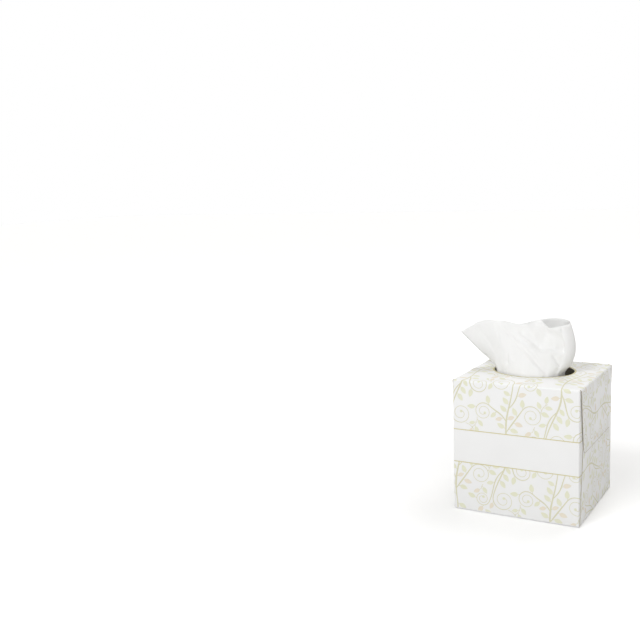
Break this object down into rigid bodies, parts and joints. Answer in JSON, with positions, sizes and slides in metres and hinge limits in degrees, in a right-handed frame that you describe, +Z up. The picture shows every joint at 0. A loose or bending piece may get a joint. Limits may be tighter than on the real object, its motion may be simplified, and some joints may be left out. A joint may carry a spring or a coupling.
{
  "type": "tissue box",
  "caption": "Cube facial tissue box: a glued folding carton with an oval mouth, the bent pack of interfolded tissues inside it and one sheet drawn up ready to take.",
  "frame": {"origin": "centre of the carton's footprint, on the surface it stands on", "axes": "+Z up; +X to the right along the front face, seen from the front; +Y from the front face to the back"},
  "size_m": [0.1295, 0.115, 0.1694],
  "materials": {
    "printed_board": "clay-coated white, printed, raw grey at its cut edges and inside",
    "tissue_stack": "matt soft crepe",
    "tissue_sheet": "matt soft crepe"
  },
  "bodies": {
    "root": {"carton": "printed_board", "tissue_pack": "tissue_stack", "popup_tissue": "tissue_sheet"}
  },
  "joints": []
}
